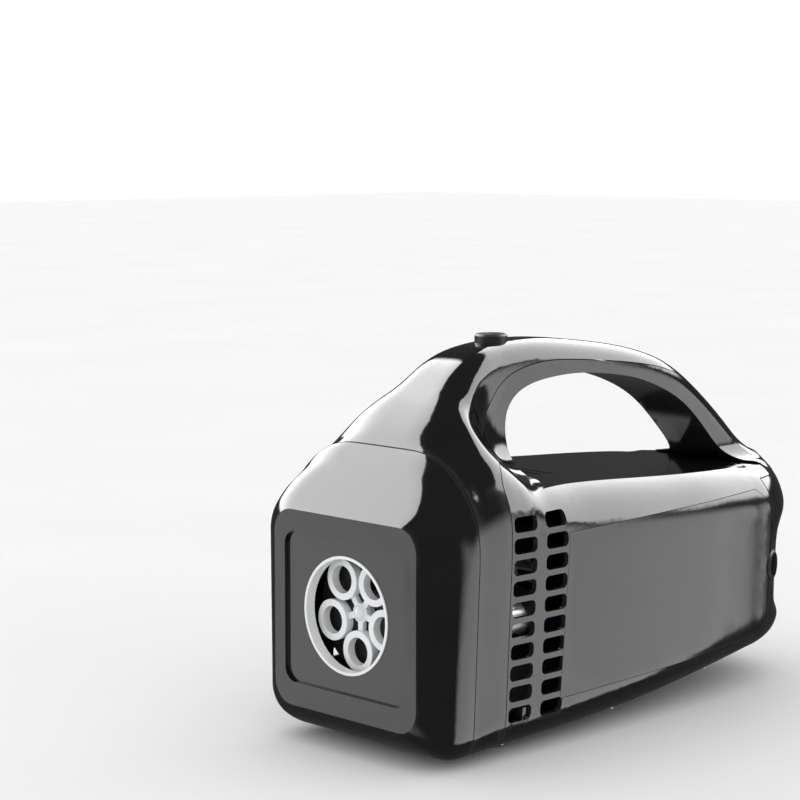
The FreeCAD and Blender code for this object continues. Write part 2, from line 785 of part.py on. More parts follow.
phase_a = mesh_phase(WHEEL_TEETH, 0.0, math.radians(-BEARING_A), COARSE_PINION)
phase_b = mesh_phase(FINE_WHEEL, 0.0, math.radians(-BEARING_B), FINE_PINION)
phase_pinion = mesh_phase(FINE_WHEEL, 0.0, math.radians(-BEARING_PINION), FINE_PINION)
coarse, fine = SIZE["coarse_module"], SIZE["fine_module"]
thick = cell("gear_thick")
running = cell("pin_radius") + " + " + cell("shaft_clearance")

keep("wheel_gear", gear("wheel_gear", Placement(at(0, 24, 0), GEAR_TURN),
     [(WHEEL_TEETH, coarse, 0.0, 0.0, thick)], cell("shaft_radius")))
keep("compound_gear_a", gear("compound_gear_a", Placement(at(SPOT_A[0], 23.5, SPOT_A[1]), GEAR_TURN),
     [(COARSE_PINION, coarse, phase_a, 0.0, 4.4), (FINE_WHEEL, fine, 0.0, 4.4, 2.4)], running))
keep("compound_gear_b", gear("compound_gear_b", Placement(at(SPOT_B[0], 27.6, SPOT_B[1]), GEAR_TURN),
     [(FINE_PINION, fine, phase_b, 0.0, 3.6), (FINE_WHEEL, fine, 0.0, 3.6, 2.4)], running))
keep("motor_pinion", gear("motor_pinion", Placement(at(SPOT_PINION[0], 30.8, SPOT_PINION[1]), GEAR_TURN),
     [(FINE_PINION, fine, phase_pinion, 0.0, 3.8)], cell("motor_shaft")))


def plate(label, back, holes):
    """Gearbox side plate with a bite out of it for the air nozzle."""
    corner = at(-16.0, back, -17.5)
    sizes = (cell("plate_length"), cell("plate_thick"), cell("plate_height"))
    slab_item = block(label + "_blank", sizes, corner)
    bites = [rod(label + "_bite", cell("nozzle_radius") + " + 1", 6.0, at(0, back - 2, NOZZLE_RISE), ALONG_Y)]
    for number, (spot, radius) in enumerate(holes):
        start = at(spot[0], back - 2, spot[1])
        bites.append(rod("%s_hole_%d" % (label, number), radius, 6.0, start, ALONG_Y))
    return keep(label, bored(label, slab_item, joined(label + "_bites", bites)))


POSTS = ((-11.0, -14.5), (38.0, -14.5), (38.0, 10.5), (-12.8, 9.7))
screw_hole = cell("screw_radius") + " + 0.1"
post_holes = [(spot, screw_hole) for spot in POSTS]
pin_holes = [(SPOT_A, cell("pin_radius")), (SPOT_B, cell("pin_radius"))]
plate("gearbox_front_plate", FRONT_PLATE, [((0, 0), cell("bush_radius"))] + pin_holes + post_holes)
plate("gearbox_rear_plate", REAR_PLATE,
      [((0, 0), cell("shaft_radius") + " + " + cell("shaft_clearance")),
       (SPOT_PINION, 3.2)] + pin_holes + post_holes)
posts, screws = [], []
for number, (x, rise) in enumerate(POSTS):
    start = at(x, FRONT_PLATE + SIZE["plate_thick"], rise)
    tube = rod("post_%d" % number, 3.0, 14.0, start, ALONG_Y)
    bore = rod("post_bore_%d" % number, cell("screw_radius"), 14.0, start, ALONG_Y)
    posts.append(bored("post_tube_%d" % number, tube, bore))
    tip = at(x, FRONT_PLATE + 0.5, rise)
    screws.append(rod("gearbox_screw_%d" % number, cell("screw_radius"), 18.0, tip, ALONG_Y))
    head = at(x, REAR_PLATE + SIZE["plate_thick"], rise)
    screws.append(rod("gearbox_head_%d" % number, cell("screw_head"), 1.8, head, ALONG_Y))
keep("gearbox_posts", joined("gearbox_posts", posts))
keep("gearbox_screws", joined("gearbox_screws", screws))
pins = [rod("pin_%d" % n, cell("pin_radius"), 18.0, at(spot[0], FRONT_PLATE, spot[1]), ALONG_Y)
        for n, spot in enumerate((SPOT_A, SPOT_B))]
keep("gear_pins", joined("gear_pins", pins))
BUSH_PROFILE = [(1.55, 0), (3.5, 0), (3.5, 2.0), (4.4, 2.0), (4.4, 3.0), (1.55, 3.0)]
keep("shaft_bush", turned("shaft_bush", BUSH_PROFILE,
                          Placement(at(0, FRONT_PLATE, 0), ALONG_Y)))


def can_motor(label, start, turn):
    """Small can motor: case with an end cap boss."""
    case = rod(label + "_case", cell("motor_radius"), cell("motor_length"), start, turn)
    out = turn.multVec(UPWARD)
    nose = rod(label + "_nose", 3.0, 1.4, start - out * 1.4, turn)
    tail_boss = rod(label + "_boss", 4.5, 2.0, start + out * SIZE["motor_length"], turn)
    bore_start = start - out * 2
    bore = rod(label + "_bore", cell("motor_shaft") + " + " + cell("shaft_clearance"), 20.0, bore_start, turn)
    body_item = bored(label, joined(label + "_outer", [case, nose, tail_boss]), bore)
    return keep(label, body_item)


motor_start = at(SPOT_PINION[0], REAR_PLATE + SIZE["plate_thick"], SPOT_PINION[1])
can_motor("wheel_motor", motor_start, ALONG_Y)
pinion_shaft_start = motor_start - BACKWARD * 8
keep("wheel_motor_shaft", rod("wheel_motor_shaft", cell("motor_shaft"), 24.0, pinion_shaft_start, ALONG_Y))

# Wand wheel: five rings on spokes round a domed hub, pressed on a steel shaft.
RINGS = 5
RING_STEP = 72.0
WHEEL_BACK = SIZE["ring_back"]
wheel_parts = []
for number in range(RINGS):
    angle = math.radians(-90 + RING_STEP * number)
    reach_x, reach_z = math.cos(angle), math.sin(angle)
    middle = at(SIZE["ring_circle"] * reach_x, WHEEL_BACK, SIZE["ring_circle"] * reach_z)
    rim = rod("ring_rim_%d" % number, cell("ring_outer"), cell("ring_thick"), middle, ALONG_Y)
    eye = rod("ring_eye_%d" % number, cell("ring_inner"), cell("ring_thick"), middle, ALONG_Y)
    wheel_parts.append(bored("ring_%d" % number, rim, eye))
    spoke = block("spoke_%d" % number, (4.6, 1.8, cell("spoke_width")), Vector())
    turn = Rotation(Vector(0, 1, 0), -math.degrees(angle))
    offset = turn.multVec(Vector(2.6, 1.4, -SIZE["spoke_width"] / 2))
    spoke.Placement = Placement(at(0, WHEEL_BACK, 0) + offset, turn)
    wheel_parts.append(spoke)
hub_start = at(0, WHEEL_BACK + 1.2, 0)
wheel_parts.append(rod("wheel_hub", cell("hub_radius"), cell("hub_length"), hub_start, ALONG_Y))
dome_place = Placement(at(0, WHEEL_BACK + 2.6, 0), UPRIGHT)
dome = primitive("Sphere", "hub_dome", dome_place, {"Radius": cell("hub_radius") + " - 0.2"})
wheel_parts.append(dome)
shaft_bore = rod("wheel_bore", cell("shaft_radius"), 10.0, at(0, WHEEL_BACK + 2.0, 0), ALONG_Y)
keep("wand_wheel", bored("wand_wheel", joined("wheel_solid", wheel_parts), shaft_bore))
shaft_start = at(0, WHEEL_BACK + 2.0, 0)
keep("wheel_shaft", rod("wheel_shaft", cell("shaft_radius"), cell("shaft_length"), shaft_start, ALONG_Y))

# Collar round the outlet, its flange trapped behind the front cover.
outer, flange = SIZE["outlet_radius"], SIZE["collar_flange_radius"]
inside = outer - SIZE["collar_wall"]
lip, seat = -0.5, SIZE["wall"] + 0.1
keep("outlet_collar", turned("outlet_collar", [
    (inside, lip), (outer, lip), (outer, seat), (flange, seat),
    (flange, seat + SIZE["collar_flange_thick"]), (inside, seat + SIZE["collar_flange_thick"]),
], Placement(at(0, SIZE["recess_depth"], 0), ALONG_Y)))

# Splash guard behind the wheel, and the air nozzle that blows through it.
MOUTH_RISE = SIZE["ring_circle"]
TROUGH_TOP = -21.4
guard_disc = rod("guard_disc", cell("guard_radius"), cell("guard_thick"), at(0, 13, 0), ALONG_Y)
guard_cuts = [
    rod("guard_shaft_hole", 2.2, 4.0, at(0, 12, 0), ALONG_Y),
    rod("guard_mouth_hole", 8.1, 4.0, at(0, 12, MOUTH_RISE), ALONG_Y),
    block("guard_foot_cut", (60.0, 4.0, 10.0), at(-30, 12, TROUGH_TOP - 10)),
]
keep("splash_guard", bored("splash_guard", guard_disc, joined("guard_cuts", guard_cuts)))
nozzle_wall = cell("nozzle_wall")
mouth = rod("nozzle_mouth", 8.0, 7.6, at(0, 12.4, MOUTH_RISE), ALONG_Y)
duct = rod("nozzle_duct", cell("nozzle_radius"), 41.3, at(0, 18.5, NOZZLE_RISE), ALONG_Y)
nozzle_flange = block("nozzle_flange", (20.0, 1.4, 14.4), at(-10, 58.4, 10.0))
mouth_bore = rod("mouth_bore", 6.8, 6.4, at(0, 12.4, MOUTH_RISE), ALONG_Y)
duct_inside = cell("nozzle_radius") + " - " + nozzle_wall
duct_bore = rod("duct_bore", duct_inside, 44.0, at(0, 18.7, NOZZLE_RISE), ALONG_Y)
keep("air_nozzle", bored("air_nozzle", joined("nozzle_solid", [mouth, duct, nozzle_flange]),
                         joined("nozzle_bores", [mouth_bore, duct_bore])))

# Blower: volute, cover, impeller and its motor, with the axis across the body.
FAN_BACK, FAN_RISE = 84.0, 4.4
ALONG_LEFT = Rotation(Vector(0, 0, 1), Vector(-1, 0, 0))
volute = rod("volute_drum", cell("volute_radius"), cell("volute_width"), at(-10, FAN_BACK, FAN_RISE), ALONG_X)
outlet_box = block("volute_outlet", (20.0, 24.2, 14.4), at(-10, 59.8, 10.0))
room_radius = cell("volute_radius") + " - " + cell("volute_wall")
volute_room = rod("volute_room", room_radius, 22.0, at(-8.6, FAN_BACK, FAN_RISE), ALONG_X)
outlet_room = block("outlet_room", (18.6, 26.0, 11.6), at(-8.6, 58.0, 11.4))
motor_hole = rod("volute_motor_hole", 3.2, 4.0, at(-12, FAN_BACK, FAN_RISE), ALONG_X)
keep("blower_housing", bored("blower_housing", joined("volute_solid", [volute, outlet_box]),
                             joined("volute_rooms", [volute_room, outlet_room, motor_hole])))
cover_start = at(10, FAN_BACK, FAN_RISE)
cover_disc = rod("blower_cover_disc", cell("volute_radius"), cell("volute_wall"), cover_start, ALONG_X)
cover_tab = block("blower_cover_tab", (cell("volute_wall"), 24.2, 14.4), at(10, 59.8, 10.0))
intake = rod("blower_intake", cell("intake_radius"), 4.0, at(9, FAN_BACK, FAN_RISE), ALONG_X)
keep("blower_cover", bored("blower_cover", joined("blower_cover_solid", [cover_disc, cover_tab]), intake))
can_motor("fan_motor", at(-10, FAN_BACK, FAN_RISE), ALONG_LEFT)
keep("fan_shaft", rod("fan_shaft", cell("motor_shaft"), 33.0, at(6, FAN_BACK, FAN_RISE), ALONG_LEFT))
fan_parts = [
    rod("fan_disc", cell("impeller_radius"), 1.2, at(-7.4, FAN_BACK, FAN_RISE), ALONG_X),
    rod("fan_hub", 4.0, 13.0, at(-7.4, FAN_BACK, FAN_RISE), ALONG_X),
]
BLADES = 16
for number in range(BLADES):
    turn = Rotation(Vector(1, 0, 0), 360 * number / BLADES)
    blade_sizes = (cell("impeller_width"), cell("blade_depth"), cell("blade_thick"))
    blade = block("blade_%d" % number, blade_sizes, Vector())
    reach = SIZE["impeller_radius"] - SIZE["blade_depth"] - 0.2
    tilt = turn.multiply(Rotation(Vector(1, 0, 0), 25))
    start = at(-7.4, FAN_BACK, FAN_RISE) + turn.multVec(Vector(0, reach, 0))
    blade.Placement = Placement(start, tilt)
    fan_parts.append(blade)
fan_bore = rod("fan_bore", cell("motor_shaft"), 16.0, at(-9, FAN_BACK, FAN_RISE), ALONG_X)
keep("fan_impeller", bored("fan_impeller", joined("fan_solid", fan_parts), fan_bore))

# Liquid tank: an open trough under the wheel and a closed tank behind it.
TANK_BACK, TANK_TOP = 23.0, -24.4
tank_half = 28.0
wall_cell = cell("tank_wall")
TANK_FLOOR = TANK_TOP - SIZE["tank_depth"]
tank_sizes = (2 * tank_half, cell("tank_length"), cell("tank_depth"))
tank_outer = block("tank_outer", tank_sizes, at(-tank_half, TANK_BACK, TANK_FLOOR))
trough_start = 5.2
trough_floor = TROUGH_TOP - SIZE["trough_depth"]
trough_outer = block("trough_outer", (48.0, 19.4, cell("trough_depth")), at(-24, trough_start, trough_floor))
gap = SIZE["tank_wall"]
tank_room = block("tank_room", (2 * (tank_half - gap), SIZE["tank_length"] - 2 * gap, SIZE["tank_depth"]),
                  at(gap - tank_half, TANK_BACK + gap, TANK_FLOOR + gap))
trough_room = block("trough_room", (48.0 - 2 * gap, 16.2, SIZE["trough_depth"]),
                    at(gap - 24, trough_start + gap, trough_floor + gap))
passage = block("tank_passage", (30.0, 8.0, 6.0), at(-15, 20, -34.0))
drain = rod("tank_drain", 3.5, 6.0, at(0, PLUG_SPOT[1], -49), UPRIGHT)
keep("liquid_tank", bored("liquid_tank", joined("tank_solid", [tank_outer, trough_outer]),
                          joined("tank_rooms", [tank_room, trough_room, passage, drain])))
lid_start = TANK_BACK + 2.0
lid_length = SIZE["tank_length"] - 2.0
seal_corner = at(-tank_half, lid_start, TANK_TOP)
seal_outer = block("seal_outer", (2 * tank_half, lid_length, cell("seal_thick")), seal_corner)
seal_room = (2 * tank_half - 6, lid_length - 6, 2.0)
seal_inner = block("seal_inner", seal_room, at(3 - tank_half, lid_start + 3, TANK_TOP - 0.5))
keep("tank_seal", bored("tank_seal", seal_outer, seal_inner))
keep("tank_lid", block("tank_lid", (2 * tank_half, lid_length, cell("lid_thick")),
                       at(-tank_half, lid_start, TANK_TOP + SIZE["seal_thick"])))
plug_radius = SIZE["plug_radius"]
keep("drain_plug", turned("drain_plug", [
    (0, -3.4), (plug_radius - 0.8, -3.4), (plug_radius, -2.6), (plug_radius, 0),
    (3.5, 0), (3.5, 2.2), (0, 2.2),
], Placement(at(0, PLUG_SPOT[1], TANK_FLOOR), UPRIGHT)))

# Battery holder with two cells and their contacts.
HOLDER_BACK, HOLDER_FLOOR = 112.4, -38.0
holder_wall = SIZE["holder_wall"]
cell_gap = 0.6
cell_length, cell_radius = SIZE["cell_length"], SIZE["cell_radius"]
holder_length = cell_length + 2 * holder_wall + 2 * cell_gap + 2.0
holder_half = 2 * cell_radius + holder_wall + cell_gap
tray_corner = at(-holder_half, HOLDER_BACK, HOLDER_FLOOR)
tray = block("holder_tray", (2 * holder_half, holder_length, 18.0), tray_corner)
room = block("holder_room", (2 * (holder_half - holder_wall), holder_length - 2 * holder_wall, 18.0),
             at(holder_wall - holder_half, HOLDER_BACK + holder_wall, HOLDER_FLOOR + holder_wall))
legs = []
for side in (-1, 1):
    legs.append(rod("holder_leg_%d" % (side + 1), 3.0, 6.6, at(side * 14, 118, HOLDER_FLOOR - 6.6), UPRIGHT))
BOARD_BACK, BOARD_RISE = 118.0, -8.0
BOARD_POSTS = [(side * 19.4, back) for side in (-1, 1) for back in (122.0, 166.0)]
post_length = BOARD_RISE - HOLDER_FLOOR - 17.0
rises = []
for number, (x, back) in enumerate(BOARD_POSTS):
    post_start = at(x, back, HOLDER_FLOOR + 17.0)
    rises.append(rod("board_post_%d" % number, 1.5, post_length, post_start, UPRIGHT))
keep("battery_holder", joined("battery_holder", [bored("holder_shell", tray, room)] + legs + rises))
cell_start = HOLDER_BACK + holder_wall + cell_gap + 1.0
for number, side in enumerate((-1, 1)):
    label = "battery_cell_%d" % (number + 1)
    middle = at(side * (cell_radius + cell_gap / 2), cell_start, HOLDER_FLOOR + holder_wall + cell_radius)
    keep(label, rod(label, cell("cell_radius"), cell("cell_length"), middle, ALONG_Y))
contacts = []
for side in (-1, 1):
    for back in (HOLDER_BACK + holder_wall + 0.2, cell_start + cell_length + 0.2):
        corner = at(side * (cell_radius + cell_gap / 2) - 5, back, HOLDER_FLOOR + holder_wall + 3)
        contacts.append(block("contact_%d_%d" % (side + 1, int(back)), (10.0, 0.6, 12.0), corner))
keep("battery_contacts", joined("battery_contacts", contacts))

# Control board and what is soldered to it.
board_sizes = (cell("board_width"), cell("board_length"), cell("board_thick"))
keep("control_board", block("control_board", board_sizes, at(-22, BOARD_BACK, BOARD_RISE)))
BOARD_TOP = BOARD_RISE + SIZE["board_thick"]
BOARD_BLOCKS = (
    ("chip", -12, 124, 8, 8, 1.6), ("driver_a", 4, 126, 6, 5, 1.6), ("driver_b", 4, 136, 6, 5, 1.6),
    ("coil", -14, 142, 9, 9, 4.5), ("plug_motor", 12, 148, 8, 6, 6.0), ("plug_fan", 12, 157, 8, 6, 6.0),
    ("plug_cells", -18, 158, 10, 6, 6.0),
)
components = []
for name, x, back, wide, deep, tall in BOARD_BLOCKS:
    components.append(block(name, (float(wide), float(deep), float(tall)), at(x, back, BOARD_TOP)))
for number, (x, back) in enumerate(((0.0, 146.0), (0.0, 156.0))):
    components.append(rod("capacitor_%d" % number, 3.1, 9.0, at(x, back, BOARD_TOP), UPRIGHT))
keep("board_components", joined("board_components", components))

# Charging jack in the side of the rear cover.
jack_turn = Rotation(UPWARD, jack_out)
jack_length = SIZE["jack_length"]
bore, rim = SIZE["jack_bore"], SIZE["jack_radius"]
keep("charge_jack", turned("charge_jack", [
    (0, 0), (rim, 0), (rim, jack_length - 0.7), (rim - 0.7, jack_length), (bore, jack_length),
    (bore, 2.5), (0, 2.5),
], Placement(jack_face - jack_out * jack_length, jack_turn)))
pin_foot = jack_face - jack_out * (jack_length - 2.5)
keep("jack_pin", rod("jack_pin", cell("jack_pin_radius"), 7.0, pin_foot, jack_turn))

# Power button over a push switch in the handle.
BUTTON_BACK, BUTTON_TOP = 78.0, 98.6
button_radius, button_rim = SIZE["button_radius"], SIZE["button_rim"]
tall = SIZE["button_height"]
keep("power_button", turned("power_button", [
    (0, -2.7), (2.4, -2.7), (2.4, -0.6), (button_rim, -0.6), (button_rim, 0.6), (button_radius, 0.6),
    (button_radius, tall - 0.9), (button_radius - 0.9, tall - 0.1), (button_radius - 1.6, tall - 0.1),
    (0, tall - 0.6),
], Placement(at(0, BUTTON_BACK, BUTTON_TOP - tall), UPRIGHT)))
SWITCH_RISE = 83.1
side = SIZE["switch_side"]
switch_sizes = (cell("switch_side"), cell("switch_side"), cell("switch_height"))
switch_case = block("switch_case", switch_sizes, at(-side / 2, BUTTON_BACK - side / 2, SWITCH_RISE))
plunger = rod("switch_plunger", 1.6, 0.5, at(0, BUTTON_BACK, SWITCH_RISE + SIZE["switch_height"]), UPRIGHT)
keep("power_switch", joined("power_switch", [switch_case, plunger]))
keep("switch_board", block("switch_board", (14.0, 13.0, 1.2), at(-7, BUTTON_BACK - 6.5, SWITCH_RISE - 1.2)))

# Screws up through the bottom cover, and the rubber feet.
bottom_screws = []
for number, (half, back) in enumerate(SCREW_SPOTS):
    floor = curve_value(UNDERSIDE, back)
    for side in (-1, 1):
        name = "%d_%d" % (number, side + 1)
        head_start = at(side * half, back, floor - 0.2)
        bottom_screws.append(rod("bottom_head_" + name, cell("screw_head"), 1.4, head_start, UPRIGHT))
        shank_start = at(side * half, back, floor + 1.2)
        bottom_screws.append(rod("bottom_shank_" + name, cell("screw_radius"), 12.0, shank_start, UPRIGHT))
keep("bottom_screws", joined("bottom_screws", bottom_screws))
feet = []
for half, back in (FEET_FRONT, FEET_REAR):
    for side in (-1, 1):
        start = at(side * half, back, -SIZE["outlet_height"])
        name = "foot_%d_%d" % (int(back), side + 1)
        feet.append(rod(name, cell("foot_radius"), cell("foot_height"), start, UPRIGHT))
keep("rubber_feet", joined("rubber_feet", feet))


doc.recompute()
os.makedirs("parts", exist_ok=True)
for label, item in nodes.items():
    failed = [flag for flag in item.State if flag in ("Invalid", "Error")]
    if failed or item.Shape.isNull() or not item.Shape.isValid():
        raise RuntimeError("%s is not sound: %s" % (label, failed))
    item.Shape.exportStep("parts/%s.step" % label)
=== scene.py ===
import json
import math

import bpy
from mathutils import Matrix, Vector


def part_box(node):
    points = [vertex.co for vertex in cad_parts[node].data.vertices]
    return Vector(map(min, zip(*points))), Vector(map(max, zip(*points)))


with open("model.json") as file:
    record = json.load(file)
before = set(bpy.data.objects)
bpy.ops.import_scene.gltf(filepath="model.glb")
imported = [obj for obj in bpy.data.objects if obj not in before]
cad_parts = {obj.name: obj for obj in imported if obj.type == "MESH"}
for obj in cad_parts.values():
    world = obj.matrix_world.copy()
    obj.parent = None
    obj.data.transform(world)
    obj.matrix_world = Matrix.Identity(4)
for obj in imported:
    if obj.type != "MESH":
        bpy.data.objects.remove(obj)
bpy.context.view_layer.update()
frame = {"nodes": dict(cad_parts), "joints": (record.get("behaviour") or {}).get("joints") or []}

MM = 0.001
nodes = frame["nodes"]
joints = {joint["name"]: joint for joint in frame["joints"]}
scene = bpy.context.scene

# The front plane and the outlet's axis come from the imported model.
OUTLET = Vector(joints["wheel_spin"]["pos_m"])
FRONT_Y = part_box("front_cover")[0].y
AXIS_Z = OUTLET.z


def at(x, back, rise):
    """Point from millimetres across, behind the front face and above the outlet's axis."""
    return Vector((x * MM, FRONT_Y + back * MM, AXIS_Z + rise * MM))


# ---------------------------------------------------------------- materials
# Noise scales are in cycles per metre of the object, depths in metres.
FLOW_SCALE, SMEAR_SCALE, CLOUD_SCALE, STAIN_SCALE = 28.0, 70.0, 45.0, 160.0
SMEAR_SPREAD = (0.8, 1.35)
CLOUD_SPREAD = (0.88, 1.12)
# Painted highlight: how far convex edges, found by pointiness, are lightened towards each material's edge
# colour.
EDGE_START, EDGE_STOP, EDGE_HIGHLIGHT = 0.515, 0.56, 0.7
TOOL_LINES = (400.0, 9000.0, 9000.0)
TOOL_DEPTH = 0.000004
STAIN_SPREAD = (0.7, 1.5)
STAIN_SHADE = 0.85
MIX_COLOUR_INPUTS = (6, 7)
MIX_COLOUR_OUTPUT = 2


def shade(colour, factor):
    return [channel * factor for channel in colour]


class Shader:
    """Node tree of one material, with short calls for the nodes it needs."""

    def __init__(self, name, base, rough, specular=0.5, coat=0.0, coat_rough=0.03, metallic=0.0, ior=1.5):
        self.material = bpy.data.materials.new(name)
        self.material.use_nodes = True
        self.tree = self.material.node_tree
        self.surface = self.tree.nodes["Principled BSDF"]
        self.surface.inputs["Base Color"].default_value = (*base, 1.0)
        self.surface.inputs["Roughness"].default_value = rough
        self.surface.inputs["Specular IOR Level"].default_value = specular
        self.surface.inputs["Coat Weight"].default_value = coat
        self.surface.inputs["Coat Roughness"].default_value = coat_rough
        self.surface.inputs["Metallic"].default_value = metallic
        self.surface.inputs["IOR"].default_value = ior
        place = self.node("ShaderNodeTexCoord")
        self.place = place.outputs["Object"]

    def node(self, kind, **inputs):
        item = self.tree.nodes.new(kind)
        for key, value in inputs.items():
            socket = item.inputs[key.replace("_", " ")]
            if isinstance(value, bpy.types.NodeSocket):
                self.tree.links.new(value, socket)
            else:
                socket.default_value = value
        return item

    def link(self, source, target):
        self.tree.links.new(source, target)

    def noise(self, scale, detail=3.0, rough=0.5):
        item = self.node("ShaderNodeTexNoise", Scale=scale, Detail=detail, Roughness=rough)
        self.link(self.place, item.inputs["Vector"])
        return item.outputs["Fac"]

    def span(self, value, low, high, start=0.3, stop=0.7):
        """Value between start and stop, spread over low to high."""
        item = self.node("ShaderNodeMapRange")
        self.link(value, item.inputs["Value"])
        item.inputs["From Min"].default_value = start
        item.inputs["From Max"].default_value = stop
        item.inputs["To Min"].default_value = low
        item.inputs["To Max"].default_value = high
        return item.outputs["Result"]

    def mix(self, factor, first, second):
        """Colour between two colours or colour sockets."""
        item = self.tree.nodes.new("ShaderNodeMix")
        item.data_type = "RGBA"
        self.link(factor, item.inputs["Factor"])
        for index, colour in zip(MIX_COLOUR_INPUTS, (first, second)):
            if isinstance(colour, bpy.types.NodeSocket):
                self.link(colour, item.inputs[index])
            else:
                item.inputs[index].default_value = (*colour, 1.0)
        return item.outputs[MIX_COLOUR_OUTPUT]

    def colour(self, source):
        self.link(source, self.surface.inputs["Base Color"])

    def roughness(self, source):
        self.link(source, self.surface.inputs["Roughness"])

    def bump(self, layers):
        """Stack of bumps: (height source, depth in metres)."""
        normal = None
        for source, depth in layers:
            item = self.node("ShaderNodeBump", Strength=1.0, Distance=depth)
            self.link(source, item.inputs["Height"])
            if normal:
                self.link(normal, item.inputs["Normal"])
            normal = item.outputs["Normal"]
        self.link(normal, self.surface.inputs["Normal"])


def moulded(name, base, rough, edge_highlight_colour, grain=9000.0, grain_depth=0.0000012, wave_depth=0.00002, **more):
    """Moulded plastic: slow flow waves, fine texture, faint smears, and a painted highlight that lightens
    the convex edges.
    """
    shader = Shader(name, base, rough, **more)
    flow = shader.noise(FLOW_SCALE, 2.0)
    fine = shader.noise(grain, 2.0)
    smear = shader.noise(SMEAR_SCALE, 5.0, 0.65)
    shader.roughness(shader.span(smear, *shade(SMEAR_SPREAD, rough)))
    # Painted highlight: the sharpest convex edges get the lighter edge colour in place of a real
    # reflection.
    edge = shader.node("ShaderNodeNewGeometry").outputs["Pointiness"]
    edge_highlight_mask = shader.span(edge, 0.0, EDGE_HIGHLIGHT, EDGE_START, EDGE_STOP)
    clouds = shader.span(shader.noise(CLOUD_SCALE, 4.0), 0.0, 1.0)
    darker, lighter = (shade(base, factor) for factor in CLOUD_SPREAD)
    shader.colour(shader.mix(edge_highlight_mask, shader.mix(clouds, darker, lighter), edge_highlight_colour))
    shader.bump([(flow, wave_depth), (fine, grain_depth)])
    return shader.material


# The fourth colour of each moulded material is its painted edge highlight.
BLACK = (0.009, 0.009, 0.0093)
gloss = moulded("shell_gloss_black", BLACK, 0.09, (0.03, 0.03, 0.031), coat=0.6, coat_rough=0.03)
panel_gloss = moulded(
    "panel_gloss_black", (0.011, 0.011, 0.0113), 0.13, (0.03, 0.03, 0.031), coat=0.5, coat_rough=0.06,
)
satin = moulded(
    "satin_black", (0.02, 0.02, 0.021), 0.34, (0.04, 0.04, 0.042), grain=5200.0, grain_depth=0.000006,
)
underside = moulded(
    "underside_black", (0.02, 0.02, 0.021), 0.42, (0.045, 0.045, 0.047), grain=3600.0, grain_depth=0.00001,
)
dark = moulded(
    "inner_black", (0.012, 0.012, 0.013), 0.5, (0.03, 0.03, 0.03), grain=4200.0, grain_depth=0.000006,
)
white = moulded("white_gloss", (0.82, 0.84, 0.86), 0.2, (0.9, 0.91, 0.92), coat=0.3, coat_rough=0.06)
nylon = moulded("natural_nylon", (0.78, 0.76, 0.7), 0.38, (0.85, 0.84, 0.8))
smoke = moulded("smoke_tank", (0.022, 0.023, 0.026), 0.3, (0.05, 0.05, 0.055))
rubber = moulded(
    "foot_rubber", (0.016, 0.016, 0.016), 0.62, (0.035, 0.035, 0.035), grain=2600.0, grain_depth=0.00002,
)
silicone = moulded(
    "grey_silicone", (0.09, 0.09, 0.095), 0.5, (0.14, 0.14, 0.15), grain=3000.0, grain_depth=0.00001,
)
wrap = moulded("cell_wrap_blue", (0.03, 0.11, 0.36), 0.28, (0.1, 0.2, 0.5))
board = moulded(
    "board_green", (0.012, 0.13, 0.05), 0.36, (0.05, 0.2, 0.1), grain=1400.0, grain_depth=0.00001,
)


def drawn_metal(name, base, rough):
    """Turned or plated metal with fine tool lines and small stains."""
    shader = Shader(name, base, rough, metallic=1.0)
    lines = shader.node("ShaderNodeTexNoise", Scale=1.0, Detail=2.0)
    stretch = shader.node("ShaderNodeMapping")
    stretch.inputs["Scale"].default_value = TOOL_LINES
    shader.link(shader.place, stretch.inputs["Vector"])
    shader.link(stretch.outputs["Vector"], lines.inputs["Vector"])
    stain = shader.noise(STAIN_SCALE, 4.0)
    shader.roughness(shader.span(stain, *shade(STAIN_SPREAD, rough)))
    shader.colour(shader.mix(shader.span(stain, 0.0, 1.0), shade(base, STAIN_SHADE), base))
    shader.bump([(lines.outputs["Fac"], TOOL_DEPTH)])
    return shader.material


steel = drawn_metal("plated_steel", (0.62, 0.62, 0.63), 0.24)
brass = drawn_metal("spring_brass", (0.72, 0.55, 0.26), 0.28)

LOOKS = {
    gloss: ("front_cover", "hood_spine", "main_housing", "rear_cover"),
    panel_gloss: ("side_panel_right", "side_panel_left"),
    satin: ("power_button", "charge_jack", "board_components", "power_switch"),
    underside: ("bottom_cover",),
    dark: (
        "splash_guard", "air_nozzle", "gearbox_front_plate", "gearbox_rear_plate", "gearbox_posts",
        "blower_housing", "blower_cover", "battery_holder",
    ),
    white: ("outlet_collar", "wand_wheel"),
    nylon: (
        "wheel_gear", "compound_gear_a", "compound_gear_b", "motor_pinion", "shaft_bush", "fan_impeller",
    ),
    smoke: ("liquid_tank", "tank_lid"),
    rubber: ("rubber_feet",),
    silicone: ("tank_seal", "drain_plug"),
    wrap: ("battery_cell_1", "battery_cell_2"),
    board: ("control_board", "switch_board"),
    brass: ("battery_contacts",),
    steel: (
        "wheel_shaft", "gear_pins", "gearbox_screws", "wheel_motor", "wheel_motor_shaft", "fan_motor",
        "fan_shaft", "jack_pin", "bottom_screws",
    ),
}
for material, names in LOOKS.items():
    for name in names:
        for slot in nodes[name].material_slots:
            slot.material = material

# ---------------------------------------------------------------- camera
VIEW_TURN = 45.383
VIEW_DROP = 6.77
LENS_MM, SENSOR_MM = 99.0, 36.0
camera_data = bpy.data.cameras.new("camera")
camera_data.lens = LENS_MM
camera_data.sensor_width = SENSOR_MM
camera = bpy.data.objects.new("camera", camera_data)
scene.collection.objects.link(camera)
camera.location = at(573.38, -536.75, 172.50)
camera.rotation_euler = (math.radians(90 - VIEW_DROP), 0, math.radians(VIEW_TURN))
scene.camera = camera

